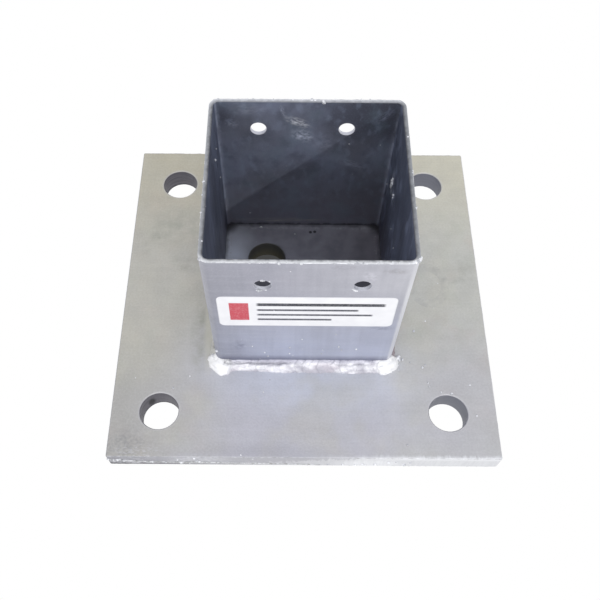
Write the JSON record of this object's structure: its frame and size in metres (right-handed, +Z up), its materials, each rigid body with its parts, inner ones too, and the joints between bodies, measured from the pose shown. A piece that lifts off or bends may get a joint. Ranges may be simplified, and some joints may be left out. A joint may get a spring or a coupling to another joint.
{
  "type": "bolt-down post base",
  "caption": "Bolt-down base for a square timber post: a flat anchor plate with a square tube socket welded upright on it, open at the top, with fixing holes in two walls.",
  "frame": {"origin": "centre of the plate's underside, where it meets the slab", "axes": "+Z up along the socket, -Y out of the labelled front wall, +X to the right seen from the front"},
  "size_m": [0.2, 0.2, 0.107],
  "materials": {
    "plate_steel": "hot-dip galvanised, matt",
    "socket_steel": "hot-dip galvanised, satin",
    "weld_metal": "rippled bead under bright zinc",
    "label_vinyl": "printed vinyl film, semi-matt"
  },
  "bodies": {
    "root": {"base_plate": "plate_steel", "post_socket": "socket_steel", "weld_front": "weld_metal", "weld_rear": "weld_metal", "weld_left": "weld_metal", "weld_right": "weld_metal", "front_label": "label_vinyl"}
  },
  "joints": []
}
